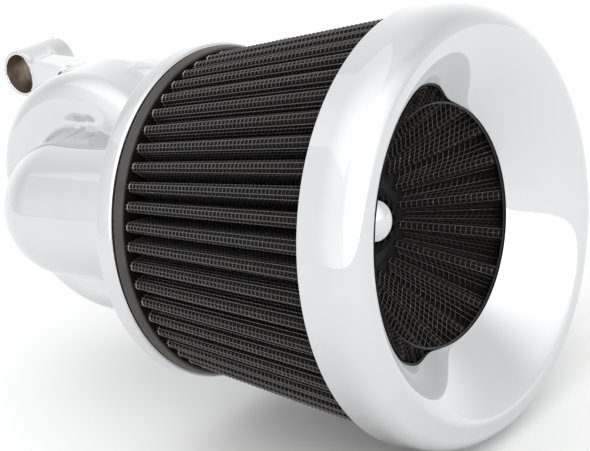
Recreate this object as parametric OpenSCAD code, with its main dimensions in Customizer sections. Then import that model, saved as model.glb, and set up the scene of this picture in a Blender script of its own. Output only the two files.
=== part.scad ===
// Right-angle motorcycle intake: chromed elbow casting, open-mouth pleated filter, bell-mouth trim ring.
// Origin: centre of the throttle seat on the mating face. +Y points into the throttle body,
// +X runs along the filter out of its bell mouth, +Z is up.

/* [Elbow casting] */
// Distance from the throttle mating face to the filter axis
elbow_reach = 44; // [40:1:60]
// Distance from the throttle axis to the front face of the filter flange
elbow_run = 78; // [70:1:100]
// Height of the filter axis above the duct axis
filter_rise = 3; // [0:0.5:6]
// Inner radius of the air duct
duct_r = 23.5; // [18:0.5:26]
// Wall thickness of the air duct
duct_wall = 3.5; // [2.5:0.1:5]

/* [Throttle base] */
// Radius of the round base plate at the throttle
base_r = 48; // [44:1:58]
// Thickness of the base plate
base_t = 12; // [10:0.5:16]
// Radius of the seat that the throttle spigot slides into
seat_r = 25; // [20:0.5:27]
// Depth of the throttle seat
seat_depth = 10; // [6:0.5:10]
// Radius of the circle of throttle screw holes
screw_circle_r = 37; // [34:0.5:40]
// Radius of a throttle screw hole
screw_hole_r = 3; // [2:0.1:3.5]
// Depth of a throttle screw hole
screw_hole_depth = 9; // [6:0.5:10]
// Radius of the gallery ring's centreline
gallery_r = 40; // [38:0.5:44]
// Radius of the gallery ring's round section
gallery_tube_r = 9; // [7:0.5:9]
// Distance from the mating face to the middle of the gallery ring
gallery_back = 28; // [22:0.5:32]

/* [Breather arms] */
// Sideways distance from the throttle axis to the rear breather boss
rear_breather_x = 69; // [60:1:84]
// Sideways distance from the throttle axis to the front breather boss
front_breather_x = 59; // [56:0.5:59]
// Height of the breather bosses above the throttle axis
breather_z = 38; // [30:1:42]
// Outer radius of a breather boss
boss_r = 10; // [9.8:0.1:12]
// Radius of the wide bore at a boss's outer end
boss_bore_r = 8.2; // [7:0.1:8.2]
// Radius of the hole that the breather bolt passes through
bolt_hole_r = 6.5; // [5:0.1:6.5]
// Length of the bolt hole behind the wide bore
bolt_hole_len = 6; // [4:0.5:8]
// Distance that the bosses reach past the throttle mating face
boss_back = 29; // [26:1:35]
// Length of a boss
boss_len = 24; // [20:0.5:26]
// Height of an arm
arm_h = 14; // [11.5:0.5:16]
// Thickness of an arm
arm_t = 12; // [9.5:0.5:14]

/* [Filter flange] */
// Radius of the filter flange
flange_r = 60; // [56:0.5:72]
// Thickness of the filter flange
flange_t = 7.3; // [6:0.1:9]
// Radius of the flange's rounded edges, cut as two bevels
flange_edge = 1.6; // [0.6:0.1:2.5]
// Radius of the duct where it opens through the flange's front face
flare_r = 31; // [27:0.5:36]
// Radius of the stud boss on the spider
hub_r = 8; // [7:0.5:10]
// Width of a spider arm
spoke_w = 5; // [4:0.5:7]
// Number of spider arms
spoke_count = 3; // [3:1:5]

/* [Centre stud and nut] */
// Radius of the centre stud
stud_r = 4; // [3:0.1:4.5]
// Radial running clearance of the nut on the stud
nut_clearance = 0.08; // [0.05:0.01:0.1]
// Across-flats size of the jam nut
jam_nut_af = 13; // [12:0.5:16]
// Thickness of the jam nut
jam_nut_t = 5; // [3:0.5:6]
// Thickness of the cap washer
washer_t = 1.5; // [1:0.1:2]
// Radius of the domed centre nut
nut_r = 11.3; // [9:0.1:13]
// Height of the domed centre nut
nut_h = 9; // [8:0.5:11]

/* [Filter element] */
// Length of the outer pleats from the rear end cap to the front end cap
pleat_len = 86.2; // [70:0.1:104]
// Distance from one outer pleat to the next where they leave the rear end cap
pleat_pitch = 6.9; // [6.9:0.1:8.5]
// Share of the front end's width, from the throat to the outside, that the outer pleats take
pleat_share = 0.5; // [0.4:0.01:0.52]
// Thickness of the filter cloth
media_t = 1.2; // [1:0.05:1.3]
// Thickness of each wire screen
screen_t = 0.5; // [0.3:0.05:0.6]
// Thickness of the rear end cap
rear_cap_t = 3.8; // [3:0.1:6]
// Distance from the flange to the face of the inner cap
inner_face = 61; // [50:0.5:66]
// Thickness of the inner cap
inner_cap_t = 5; // [4:0.5:7]
// Radius at the inner pleat tips on the inner cap
inner_tip_r = 18.9; // [15.7:0.1:22.7]
// Distance from one inner pleat to the next on the inner cap
inner_pleat_pitch = 6.25; // [5.6:0.05:7.5]
// Greatest depth of the inner pleats at the inner cap
inner_pleat_depth = 3.5; // [2.9:0.1:4.2]
// Thickness of the front end cap
front_cap_t = 9; // [7:0.5:10]

/* [Trim ring] */
// Outer radius of the trim ring
ring_r = 72.9; // [68:0.1:87.5]
// Distance from the ring's outside in to its front crest
lip_width = 8.9; // [7.4:0.1:10.7]
// Distance from the skirt forward to the crest
lip_depth = 13; // [10.8:0.1:15.6]
// Length of the straight skirt behind the lip
skirt_len = 7.7; // [6.4:0.1:12]
// Radius of the throat
throat_r = 40.6; // [36:0.1:44]
// Distance that the throat's edge sits in front of the skirt's edge
throat_step = 2.7; // [2.5:0.1:4]
// Thickness of the ring's spun sheet
ring_wall = 1.2; // [0.8:0.1:1.4]
// Angle between the funnel and the filter axis at the throat
funnel_angle = 34; // [28:1:41]

/* [Hidden] */
$fn = 96;

duct_out_r = duct_r + duct_wall;
cut = 1;                     // how far a cutting shape runs past the face it cuts
slip = 0.3;                  // gap between pieces on different bodies
bedding = 0.1;               // gap left around a seal in its groove
steps = 16;                  // straight pieces in a curved profile

// seals are drawn squeezed flush with their faces, as fitted
throttle_seal_tube = 1.5;    // section radius
seal_land = 2.5;             // metal between the throttle seat and its seal
throttle_seal_r = seat_r + throttle_seal_tube + seal_land;
groove_wall = 0.6;           // metal left outside a breather seal's groove
seal_lip = 0.2;              // metal left inside it
breather_seal_r = (bolt_hole_r + boss_r - groove_wall) / 2;
breather_seal_tube = (boss_r - groove_wall - bolt_hole_r) / 2 - bedding - seal_lip;

// arms, in plan: they leave the base under the gallery ring and sweep back to the bosses
face_step = 1;               // how far an arm stays in front of the mating face, and clear of the base plate
arm_root_x = 0.36 * base_r;
arm_clear_x = sqrt(pow(base_r, 2) - pow(breather_z - arm_h / 2, 2)) + face_step;
boss_front = boss_back - boss_len;
gallery_neck = 2;            // how much the wall behind the gallery ring is thinner than the ring, each side

// stations along the filter axis, measured from the flange's front face
pleat_end = rear_cap_t + pleat_len;
skirt_lap = 1.1;             // how far the ring's skirt laps the front end cap
skirt_edge = pleat_end - skirt_lap;
lip_start = skirt_edge + skirt_len;
crest_z = lip_start + lip_depth;
throat_z = skirt_edge + throat_step;
inner_cap_back = inner_face - inner_cap_t;
spider_front = -1;
lock_washer_t = 1.2;
nut_seat = inner_face + washer_t + bedding / 2;
nut_roof = 2;                // metal over the nut's blind bore
nut_rim = 2.5;               // height of the nut's straight rim
stud_end = nut_seat + nut_h - nut_roof - 1;
stud_point = 0.8;            // bevel on the stud's end

// radii of the filter: the rear cap stands inside the flange's rim, and the front inside the ring's skirt
cap_margin = 0.5;
cap_border = 2.3;            // rear cap left showing outside the pleat tips
skirt_gap = 1.1;             // gap between the filter's front and the ring's skirt
throat_set = 0.8;            // how far the inner pleats and the front cap stand inside the throat
throat_gap = 0.8;            // gap between the front end cap and the ring's funnel
rear_cap_r = flange_r - cap_margin;
rear_tip_r = rear_cap_r - cap_border;
front_tip_r = ring_r - ring_wall - skirt_gap;
throat_tip_r = throat_r - throat_set;
washer_r = nut_r - 0.5;
ferrule_r = 2 * stud_r;

// folds: the cloth's middle line runs between a root and a tip, with a screen on both sides
fold_gap = 0.6;              // open space between neighbouring folds at their roots
screen_out = media_t / 2 + screen_t;
outer_growth = front_tip_r / rear_tip_r;
outer_root = rear_tip_r - pleat_share * (front_tip_r - throat_tip_r) / outer_growth - screen_out;
outer_tip = rear_tip_r - screen_out;
outer_count = round(2 * PI * rear_tip_r / pleat_pitch);
inner_growth = throat_tip_r / inner_tip_r;
inner_root = inner_tip_r + screen_out;
inner_room = ((outer_root - screen_out) * outer_growth - slip) / inner_growth - inner_root - screen_out;
inner_tip = inner_root + min(inner_pleat_depth, inner_room);
inner_count = round(2 * PI * inner_tip_r / inner_pleat_pitch);

// half the width of a fold's middle line that leaves fold_gap between neighbours
function fold_half(count, root) = PI * (root + screen_out) / count - screen_out - fold_gap / 2;

chrome = [0.80, 0.81, 0.83];
rubber = [0.12, 0.12, 0.13];
cloth = [0.07, 0.07, 0.08];
wire = [0.30, 0.30, 0.32];
steel = [0.62, 0.63, 0.65];

// ---------- frames ----------

// puts a shape drawn along +Z onto the filter axis, with z = 0 on the flange's front face
module on_filter_axis() translate([elbow_run, -elbow_reach, filter_rise]) rotate([0, 90, 0]) children();

// puts a shape drawn along +Z onto a line along +Y through (x, y, z)
module along_y(x, y, z) translate([x, y, z]) rotate([-90, 0, 0]) children();

// a ring of rectangular section
module band(r_in, r_out, z0, z1) {
    translate([0, 0, z0]) difference() {
        cylinder(r = r_out, h = z1 - z0);
        translate([0, 0, -cut]) cylinder(r = r_in, h = z1 - z0 + 2 * cut);
    }
}

// ---------- pleats ----------

// One folded loop: its tips stand at tip and its roots at root, moved outwards by e.
// half is the distance from a fold's centre to its flank.
function fold_points(count, tip, root, half, e) = [
    for (i = [0 : count - 1])
        for (p = [[root + e, -half - e], [tip + e, -half - e], [tip + e, half + e], [root + e, half + e]])
            let (turn = 360 * i / count + asin(p[1] / p[0])) p[0] * [cos(turn), sin(turn)]
];

// a pleated tapering wall between two offsets of the same folded loop
module pleated_wall(count, tip, root, e_in, e_out, length, growth) {
    half = fold_half(count, root);
    linear_extrude(height = length, scale = growth) difference() {
        polygon(fold_points(count, tip, root, half, e_out));
        polygon(fold_points(count, tip, root, half, e_in));
    }
}

module outer_fold(e_in, e_out)
    on_filter_axis() translate([0, 0, rear_cap_t])
        pleated_wall(outer_count, outer_tip, outer_root, e_in, e_out, pleat_len, outer_growth);

module inner_fold(e_in, e_out)
    on_filter_axis() translate([0, 0, inner_face])
        pleated_wall(inner_count, inner_tip, inner_root, e_in, e_out, pleat_end - inner_face, inner_growth);

// ---------- elbow casting ----------

// solid outside or inside of the right-angle duct, of radius r, reaching x1 along X and y1 along Y
module duct_form(r, x1, y1) {
    translate([0, -elbow_reach, 0]) {
        sphere(r = r);
        rotate([0, 90, 0]) cylinder(r = r, h = x1);
        rotate([-90, 0, 0]) cylinder(r = r, h = y1 + elbow_reach);
    }
}

module intake_elbow() {
    color(chrome) difference() {
        duct_form(duct_out_r, elbow_run - flange_t, -base_t);
        duct_form(duct_r, elbow_run - flange_t + cut, -base_t + cut);
    }
}

// flange disc with bevelled edges, before its duct is cut
module flange_disc() {
    e = flange_edge;
    rotate_extrude() polygon([[0, -flange_t], [flange_r - e, -flange_t], [flange_r - 0.3 * e, -flange_t + 0.3 * e],
        [flange_r, -flange_t + e], [flange_r, -e], [flange_r - 0.3 * e, -0.3 * e], [flange_r - e, 0], [0, 0]]);
}

module filter_flange() {
    color(chrome) {
        difference() {
            on_filter_axis() flange_disc();
            translate([elbow_run - flange_t - cut, -elbow_reach, 0]) rotate([0, 90, 0])
                cylinder(r = duct_r, h = flange_t + 2 * cut);
            translate([elbow_run - flange_t / 2, -elbow_reach, 0]) rotate([0, 90, 0])
                cylinder(r1 = duct_r - cut, r2 = flare_r, h = flange_t / 2 + cut / 100);
        }
        difference() {
            intersection() {
                union() {
                    on_filter_axis() translate([0, 0, -flange_t]) cylinder(r = hub_r, h = flange_t + spider_front);
                    for (i = [0 : spoke_count - 1])
                        on_filter_axis() rotate([0, 0, 360 * i / spoke_count + 180])
                            translate([0, -spoke_w / 2, -flange_t])
                                cube([flare_r, spoke_w, flange_t + spider_front]);
                }
                translate([elbow_run - flange_t, -elbow_reach, 0]) rotate([0, 90, 0])
                    cylinder(r = duct_r + duct_wall / 2, h = flange_t);
            }
            on_filter_axis() translate([0, 0, -flange_t - cut]) cylinder(r = stud_r, h = flange_t + 2 * cut);
        }
    }
}

// groove for a seal lying along Y, flush with the face at y
module seal_groove(x, y, z, r, tube) {
    along_y(x, y - 2 * tube - bedding, z) band(r - tube - bedding, r + tube + bedding, 0, 2 * tube + bedding + cut);
}

module throttle_base() {
    color(chrome) difference() {
        union() {
            along_y(0, -base_t, 0) cylinder(r = base_r, h = base_t);
            along_y(0, -gallery_back, 0) band(gallery_r - gallery_tube_r + gallery_neck,
                gallery_r + gallery_tube_r - gallery_neck, 0, gallery_back - base_t);
            along_y(0, -gallery_back, 0) rotate_extrude() translate([gallery_r, 0]) circle(r = gallery_tube_r);
        }
        duct_form(duct_out_r, elbow_run, -base_t);
        along_y(0, -base_t - cut, 0) cylinder(r = duct_r, h = base_t + 2 * cut);
        along_y(0, -seat_depth, 0) cylinder(r = seat_r, h = seat_depth + cut);
        seal_groove(0, 0, 0, throttle_seal_r, throttle_seal_tube);
        for (turn = [30, 150, 270])
            rotate([0, turn, 0])
                along_y(screw_circle_r, -screw_hole_depth, 0) cylinder(r = screw_hole_r, h = screw_hole_depth + cut);
    }
}

// one arm with its boss; side is -1 for the rear arm and 1 for the front arm
module breather_arm(side, reach) {
    x = side * reach;
    color(chrome) difference() {
        union() {
            translate([0, 0, breather_z - arm_h / 2]) linear_extrude(height = arm_h) polygon([
                [side * arm_root_x, -base_t], [side * (arm_root_x + arm_t), -base_t],
                [x - side * boss_r / 5, boss_front + cut], [x, boss_front + boss_len / 2],
                [x - side * boss_r / 2, boss_front + arm_t],
                [side * arm_clear_x, -face_step], [side * arm_root_x, -face_step]]);
            along_y(x, boss_front, breather_z) cylinder(r = boss_r, h = boss_len);
        }
        along_y(0, -base_t - cut, 0) cylinder(r = base_r, h = base_t + cut);
        along_y(x, -base_t, breather_z) cylinder(r = boss_bore_r, h = base_t + boss_back - bolt_hole_len);
        along_y(x, boss_front, breather_z) cylinder(r = bolt_hole_r, h = boss_len + cut);
        seal_groove(x, boss_back, breather_z, breather_seal_r, breather_seal_tube);
    }
}

module rear_breather_arm() breather_arm(-1, rear_breather_x);

module front_breather_arm() breather_arm(1, front_breather_x);

// ---------- seals ----------

// a seal lying along Y, flush with the face at y
module o_ring(x, y, z, r, tube)
    color(rubber) along_y(x, y - tube, z) rotate_extrude() translate([r, 0]) circle(r = tube, $fn = 48);

module throttle_seal() o_ring(0, 0, 0, throttle_seal_r, throttle_seal_tube);

module rear_breather_seal() o_ring(-rear_breather_x, boss_back, breather_z, breather_seal_r, breather_seal_tube);

module front_breather_seal() o_ring(front_breather_x, boss_back, breather_z, breather_seal_r, breather_seal_tube);

// ---------- stud, nuts and washers ----------

module centre_stud() {
    shank = stud_end - stud_point + flange_t;
    color(steel) on_filter_axis() translate([0, 0, -flange_t]) {
        cylinder(r = stud_r, h = shank);
        translate([0, 0, shank]) cylinder(r1 = stud_r, r2 = stud_r - stud_point, h = stud_point);
    }
}

module lock_washer()
    color(steel) on_filter_axis()
        band(stud_r + bedding, hub_r - bedding, spider_front, spider_front + lock_washer_t);

module jam_nut() {
    face_r = 0.52 * jam_nut_af;
    color(steel) on_filter_axis() translate([0, 0, spider_front + lock_washer_t]) difference() {
        intersection() {
            cylinder(r = jam_nut_af / sqrt(3), h = jam_nut_t, $fn = 6);
            cylinder(r1 = face_r + jam_nut_t, r2 = face_r, h = jam_nut_t);
        }
        translate([0, 0, -cut]) cylinder(r = stud_r, h = jam_nut_t + 2 * cut);
    }
}

module cap_washer() color(steel) on_filter_axis() band(stud_r + slip, washer_r, inner_face, inner_face + washer_t);

// dome: a cap of a sphere on a short cylinder, drilled blind from below
module centre_nut() {
    rise = nut_h - nut_rim;
    ball = (nut_r * nut_r + rise * rise) / (2 * rise);
    color(chrome) on_filter_axis() translate([0, 0, nut_seat]) difference() {
        union() {
            cylinder(r = nut_r, h = nut_rim);
            intersection() {
                translate([0, 0, nut_h - ball]) sphere(r = ball);
                translate([0, 0, nut_rim - cut / 100]) cylinder(r = nut_r, h = nut_h);
            }
        }
        translate([0, 0, -cut]) cylinder(r = stud_r + nut_clearance, h = nut_h - nut_roof + cut);
    }
}

// ---------- filter element ----------

module rear_end_cap() {
    bore = outer_root - screen_out - 3;
    color(rubber) on_filter_axis() rotate_extrude() polygon([[bore, slip], [rear_cap_r, slip],
        [rear_cap_r - cap_border / 2, rear_cap_t], [bore, rear_cap_t]]);
}

module outer_pleats() color(cloth) outer_fold(-media_t / 2, media_t / 2);

module outer_screen() color(wire) outer_fold(media_t / 2, screen_out);

module outer_backing_screen() color(wire) outer_fold(-screen_out, -media_t / 2);

module inner_pleats() color(cloth) inner_fold(-media_t / 2, media_t / 2);

module inner_screen() color(wire) inner_fold(-screen_out, -media_t / 2);

module inner_backing_screen() color(wire) inner_fold(media_t / 2, screen_out);

// holds both sets of pleats inside the trim ring, and follows the back of its funnel
module front_end_cap() {
    top = pleat_end + front_cap_t;
    bevel = 2;
    color(rubber) on_filter_axis() rotate_extrude() polygon(concat(
        [[throat_tip_r, pleat_end], [front_tip_r, pleat_end], [front_tip_r, top - bevel], [front_tip_r - bevel, top]],
        [for (p = funnel(ring_wall + throat_gap)) if (p[1] < top) p],
        [[throat_tip_r, throat_z - throat_gap]]));
}

module inner_cap() color(rubber) on_filter_axis() band(ferrule_r, inner_tip + screen_out, inner_cap_back, inner_face);

module cap_ferrule() color(steel) on_filter_axis() band(stud_r + slip, ferrule_r, inner_cap_back, inner_face);

// ---------- trim ring ----------

function bezier(a, b, c, d, t) =
    pow(1 - t, 3) * a + 3 * t * pow(1 - t, 2) * b + 3 * t * t * (1 - t) * c + t * t * t * d;

// the lip, from the skirt to the crest, moved inwards by w
function lip(w) =
    let (full = 0.62, start = [ring_r - w, lip_start], crest = [ring_r - lip_width, crest_z - w])
    [for (i = [0 : steps - 1]) bezier(start, [start[0], start[1] + full * (crest[1] - start[1])],
        [crest[0] + full * (start[0] - crest[0]), crest[1]], crest, i / steps)];

// the funnel, from the crest to the throat, moved inwards by w
function funnel(w) =
    let (crest = [ring_r - lip_width, crest_z - w], throat = [throat_r + w, throat_z],
        crest_pull = 0.22 * (crest[0] - throat[0]), throat_pull = 0.15 * (crest[1] - throat[1]))
    [for (i = [0 : steps]) bezier(crest, crest - [crest_pull, 0],
        throat + throat_pull * [sin(funnel_angle), cos(funnel_angle)], throat, i / steps)];

function ring_face(w) = concat([[ring_r - w, skirt_edge]], lip(w), funnel(w));

function reversed(list) = [for (i = [len(list) - 1 : -1 : 0]) list[i]];

module trim_ring() {
    color(chrome) on_filter_axis() rotate_extrude(convexity = 4)
        polygon(concat(ring_face(0), reversed(ring_face(ring_wall))));
}

filter_flange();
intake_elbow();
throttle_base();
rear_breather_arm();
front_breather_arm();
throttle_seal();
rear_breather_seal();
front_breather_seal();
centre_stud();
jam_nut();
lock_washer();
rear_end_cap();
outer_pleats();
outer_screen();
outer_backing_screen();
inner_pleats();
inner_screen();
inner_backing_screen();
front_end_cap();
inner_cap();
cap_ferrule();
cap_washer();
trim_ring();
centre_nut();
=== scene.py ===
import math

import bpy
import numpy as np
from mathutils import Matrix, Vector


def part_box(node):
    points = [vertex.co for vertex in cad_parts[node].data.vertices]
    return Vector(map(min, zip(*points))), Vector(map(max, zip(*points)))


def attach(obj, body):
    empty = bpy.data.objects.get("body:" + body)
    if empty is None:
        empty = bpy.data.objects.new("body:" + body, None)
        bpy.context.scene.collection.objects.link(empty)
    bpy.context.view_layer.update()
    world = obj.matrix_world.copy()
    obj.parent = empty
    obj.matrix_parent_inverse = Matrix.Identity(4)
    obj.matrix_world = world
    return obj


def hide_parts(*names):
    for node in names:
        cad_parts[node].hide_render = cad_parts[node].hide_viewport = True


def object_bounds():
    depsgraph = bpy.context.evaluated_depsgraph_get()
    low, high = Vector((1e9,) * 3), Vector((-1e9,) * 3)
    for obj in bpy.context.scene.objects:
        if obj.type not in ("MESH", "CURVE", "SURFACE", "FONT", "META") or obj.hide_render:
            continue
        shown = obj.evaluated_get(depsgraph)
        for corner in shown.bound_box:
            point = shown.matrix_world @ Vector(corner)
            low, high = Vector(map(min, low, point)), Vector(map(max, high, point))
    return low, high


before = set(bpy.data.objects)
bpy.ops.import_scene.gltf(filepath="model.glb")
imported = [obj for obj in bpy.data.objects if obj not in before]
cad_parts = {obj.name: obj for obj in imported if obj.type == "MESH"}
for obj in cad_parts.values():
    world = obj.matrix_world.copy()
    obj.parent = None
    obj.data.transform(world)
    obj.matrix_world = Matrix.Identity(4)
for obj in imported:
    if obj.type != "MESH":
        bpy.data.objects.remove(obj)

import openvdb
from bpy.props import FloatProperty, FloatVectorProperty, IntProperty, PointerProperty
from mathutils import Matrix, Vector

bl_info = {
    "name": "Motorcycle Intake With Open-Mouth Filter",
    "version": (1, 0, 0),
    "blender": (4, 5, 0),
    "location": "3D View > Sidebar > Intake",
    "description": "Builds the looks of a chromed right-angle intake and its pleated filter",
    "category": "Add Mesh",
}

MM = 0.001
CAD_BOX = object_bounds()


# ---------- places and sizes taken from the frame, in millimetres ----------

def node_box(node):
    """Lowest and highest corner of a CAD node, in millimetres, as arrays."""
    low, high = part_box(node)
    return np.array(low) / MM, np.array(high) / MM


FLANGE_LO, FLANGE_HI = node_box("filter_flange")
AXIS_Y, AXIS_Z = ((FLANGE_LO + FLANGE_HI) / 2)[1:]
FACE_X = FLANGE_HI[0]                      # the flange's front face; the filter starts here
FLANGE_R = (FLANGE_HI[2] - FLANGE_LO[2]) / 2
FLANGE_T = FLANGE_HI[0] - FLANGE_LO[0]

ELBOW_LO, ELBOW_HI = node_box("intake_elbow")
DUCT_OUT_R = ELBOW_HI[2]
BEND_Y = ELBOW_LO[1] + DUCT_OUT_R          # the duct turns here, at x = 0, z = 0

BASE_LO, BASE_HI = node_box("throttle_base")
RING_BACK_Y = BASE_LO[1]
SEAL_LO, SEAL_HI = node_box("throttle_seal")

REAR_LO, REAR_HI = node_box("rear_breather_arm")
FRONT_HI = node_box("front_breather_arm")[1]
BOSS_R = (REAR_HI[2] - REAR_LO[2]) / 2
BOSS_Z = (REAR_HI[2] + REAR_LO[2]) / 2
REAR_X = REAR_LO[0] + BOSS_R
FRONT_X = FRONT_HI[0] - BOSS_R
BOSS_LEN = 24
BOSS_END_Y = REAR_HI[1]
BOSS_START_Y = BOSS_END_Y - BOSS_LEN

PLEAT_LO, PLEAT_HI = node_box("outer_screen")
INNER_LO, INNER_HI = node_box("inner_screen")
CAP_LO, CAP_HI = node_box("rear_end_cap")
INNER_CAP_LO, INNER_CAP_HI = node_box("inner_cap")
TRIM_LO, TRIM_HI = node_box("trim_ring")
STUD_LO, STUD_HI = node_box("centre_stud")
NUT_LO, NUT_HI = node_box("centre_nut")
WASHER_LO, WASHER_HI = node_box("cap_washer")
FRONT_CAP_LO, FRONT_CAP_HI = node_box("front_end_cap")


def half_span(low, high):
    """Half the height of a box, which is the radius of what turns about X."""
    return (high[2] - low[2]) / 2


def station(x):
    """Distance of a place x along the filter, in front of the flange's face."""
    return x - FACE_X


# ---------- settings ----------

def size_mm(label, about, millimetres):
    return FloatProperty(name=label, description=about + ", mm", default=millimetres)


def tint(label, about, value):
    return FloatVectorProperty(name=label, description=about, default=value, subtype="COLOR")


class CastingSettings(bpy.types.PropertyGroup):
    """Sizes of the chromed elbow casting"""
    bore_r: size_mm("Duct bore", "Inner radius of the duct", 23.5)
    ring_r: size_mm("Gallery ring", "Radius of the gallery ring's centreline", 40.0)
    ring_tube: size_mm("Ring section", "Radius of the gallery ring's section", 9.0)
    base_t: size_mm("Base plate", "Thickness of the base plate", 12.0)
    seat_r: size_mm("Throttle seat", "Radius of the throttle seat", 25.0)
    seat_depth: size_mm("Seat depth", "Depth of the throttle seat", 10.0)
    screw_circle: size_mm("Screw circle", "Radius of the screw hole circle", 37.0)
    screw_r: size_mm("Screw hole", "Radius of a throttle screw hole", 3.0)
    boss_bore_r: size_mm("Boss bore", "Radius of a boss's wide bore", 8.2)
    bolt_r: size_mm("Bolt hole", "Radius of a breather bolt hole", 6.5)
    bolt_len: size_mm("Bolt hole length", "Length of a bolt hole", 6.0)
    grain: size_mm("Mesh step", "Size of a mesh cell on the casting", 0.9)
    flare_r: size_mm("Flare", "Radius of the duct's mouth in the flange", 31.0)
    hub_r: size_mm("Hub", "Radius of the stud's boss", 8.0)


class FilterSettings(bpy.types.PropertyGroup):
    """Sizes of the pleats and the wire screens"""
    outer_folds: IntProperty(name="Outer pleats", description="Number of outer pleats", default=52)
    inner_folds: IntProperty(name="Inner pleats", description="Number of inner pleats", default=19)
    mesh_pitch: size_mm("Wire pitch", "Distance between wires", 1.8)
    wire_r: size_mm("Wire radius", "Radius of a coated wire", 0.15)
    cloth_t: size_mm("Cloth", "Thickness of the filter cloth", 0.9)
    inner_tip: size_mm("Inner tips", "Radius at the inner pleat tips on the inner cap", 18.9)
    throat_tip: size_mm("Throat tips", "Radius at the inner pleat tips below the throat", 39.8)


class RingSettings(bpy.types.PropertyGroup):
    """Shape of the bell-mouth trim ring"""
    skirt_len: size_mm("Skirt", "Length of the straight skirt", 7.7)
    lip_width: size_mm("Lip width", "Distance from the outside in to the crest", 8.9)
    throat_r: size_mm("Throat", "Radius of the throat", 40.6)
    throat_step: size_mm("Throat step", "Throat's distance from the skirt", 2.7)
    wall: size_mm("Wall", "Thickness of the spun sheet", 1.2)
    funnel_angle: FloatProperty(
        name="Funnel angle", description="Angle of the funnel at the throat", default=math.radians(34),
        subtype="ANGLE")


class FinishSettings(bpy.types.PropertyGroup):
    """Colours of the finishes"""
    chrome: tint("Chrome", "Chrome plate", (0.68, 0.687, 0.694))
    rear_rubber: tint("Rear cap", "Dark grey moulded rubber", (0.046, 0.042, 0.040))
    black_rubber: tint("Black rubber", "Moulded black rubber", (0.011, 0.011, 0.012))
    cloth: tint("Cloth", "Black filter cloth", (0.0075, 0.0058, 0.0050))
    wire: tint("Wire", "Coated screen wire", (0.150, 0.142, 0.144))
    steel: tint("Steel", "Plated steel", (0.55, 0.55, 0.54))
    floor: tint("Floor", "Pale floor", (0.92, 0.92, 0.92))


# ---------- shader maths ----------

class Link:
    """A node's output socket that can be used in an expression."""

    def __init__(self, finish, socket):
        self.finish = finish
        self.socket = socket

    def _math(self, operation, first, second):
        return self.finish.add("ShaderNodeMath", {"operation": operation}, {0: first, 1: second})

    def __add__(self, other):
        return self._math("ADD", self, other)

    def __radd__(self, other):
        return self._math("ADD", other, self)

    def __sub__(self, other):
        return self._math("SUBTRACT", self, other)

    def __rsub__(self, other):
        return self._math("SUBTRACT", other, self)

    def __mul__(self, other):
        return self._math("MULTIPLY", self, other)

    def __rmul__(self, other):
        return self._math("MULTIPLY", other, self)


class Shading:
    """A shader node tree that grows node by node."""

    def __init__(self, tree):
        self.tree = tree

    def add(self, kind, settings=None, sockets=None, out=0):
        """Adds a node: its settings first, then the values or links of its sockets."""
        made = self.tree.nodes.new(kind)
        for key, value in (settings or {}).items():
            if key == "stops":
                self._set_stops(made.color_ramp, value)
            else:
                setattr(made, key, value)
        self.join(made, sockets or {})
        return Link(self, made.outputs[out])

    @staticmethod
    def _set_stops(ramp, stops):
        while len(ramp.elements) < len(stops):
            ramp.elements.new(1.0)
        for element, (place, shade) in zip(ramp.elements, stops):
            element.position = place
            element.color = (shade, shade, shade, 1.0)

    def join(self, made, sockets):
        """Sets or links a node's input sockets."""
        for key, value in sockets.items():
            if isinstance(value, Link):
                self.tree.links.new(value.socket, made.inputs[key])
            elif made.inputs[key].type == "RGBA":
                made.inputs[key].default_value = (*value, 1.0)
            else:
                made.inputs[key].default_value = value


class Finish(Shading):
    """One material and the nodes that make it."""

    def __init__(self, name):
        self.material = bpy.data.materials.new(name)
        self.material.use_nodes = True
        super().__init__(self.material.node_tree)
        self.surface = self.tree.nodes["Principled BSDF"]

    def place(self, scale=(1, 1, 1)):
        """Object coordinates, stretched by scale."""
        coords = self.add("ShaderNodeTexCoord", out=3)
        return self.add("ShaderNodeMapping", {}, {"Vector": coords, "Scale": scale})

    def noise(self, where, size, detail=3.0, roughness=0.5):
        """Even noise with features about size millimetres across."""
        return self.add("ShaderNodeTexNoise", {}, {
            "Vector": where, "Scale": 1 / (size * MM), "Detail": detail, "Roughness": roughness})

    def blend(self, amount, first, second):
        """A colour between two colours."""
        return self.add("ShaderNodeMix", {"data_type": "RGBA"}, {0: amount, 6: first, 7: second}, out=2)

    def ramp(self, value, stops):
        return self.add("ShaderNodeValToRGB", {"stops": stops}, {0: value})

    def bump(self, height, depth):
        """A bump whose full height is depth millimetres."""
        return self.add("ShaderNodeBump", {}, {"Height": height, "Distance": depth * MM, "Strength": 1.0})

    def done(self, **sockets):
        self.join(self.surface, {key.replace("_", " "): value for key, value in sockets.items()})
        return self.material


def shaded(colour, share):
    """A colour made darker or lighter by a share."""
    return tuple(min(1.0, c * share) for c in colour)


def chrome_finish(name, ripple, haze):
    """Polished chrome plate: faint waves from polishing and a thin uneven haze."""
    colour = bpy.context.scene.intake_finish.chrome
    f = Finish(name)
    where = f.place()
    cloud = f.noise(where, 34, 3)
    wave = f.noise(where, 26, 1)
    return f.done(
        Base_Color=f.blend(cloud, shaded(colour, 0.97), shaded(colour, 1.05)),
        Metallic=1.0,
        Roughness=haze + 0.03 * f.noise(where, 9, 4) * cloud,
        Normal=f.bump(wave, ripple))


def bore_finish():
    """Unplated metal inside the bores: brownish, with turning marks along the bore."""
    f = Finish("bare_bore")
    where = f.place()
    stain = f.noise(where, 5, 4)
    marks = f.noise(f.place((0.2, 3.2, 0.2)), 2.2, 2)
    return f.done(
        Base_Color=f.blend(f.ramp(stain, [(0.35, 0.0), (0.68, 1.0)]), (0.50, 0.42, 0.34), (0.20, 0.155, 0.125)),
        Metallic=0.9, Roughness=0.24 + 0.22 * marks, Normal=f.bump(marks, 0.05))


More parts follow.
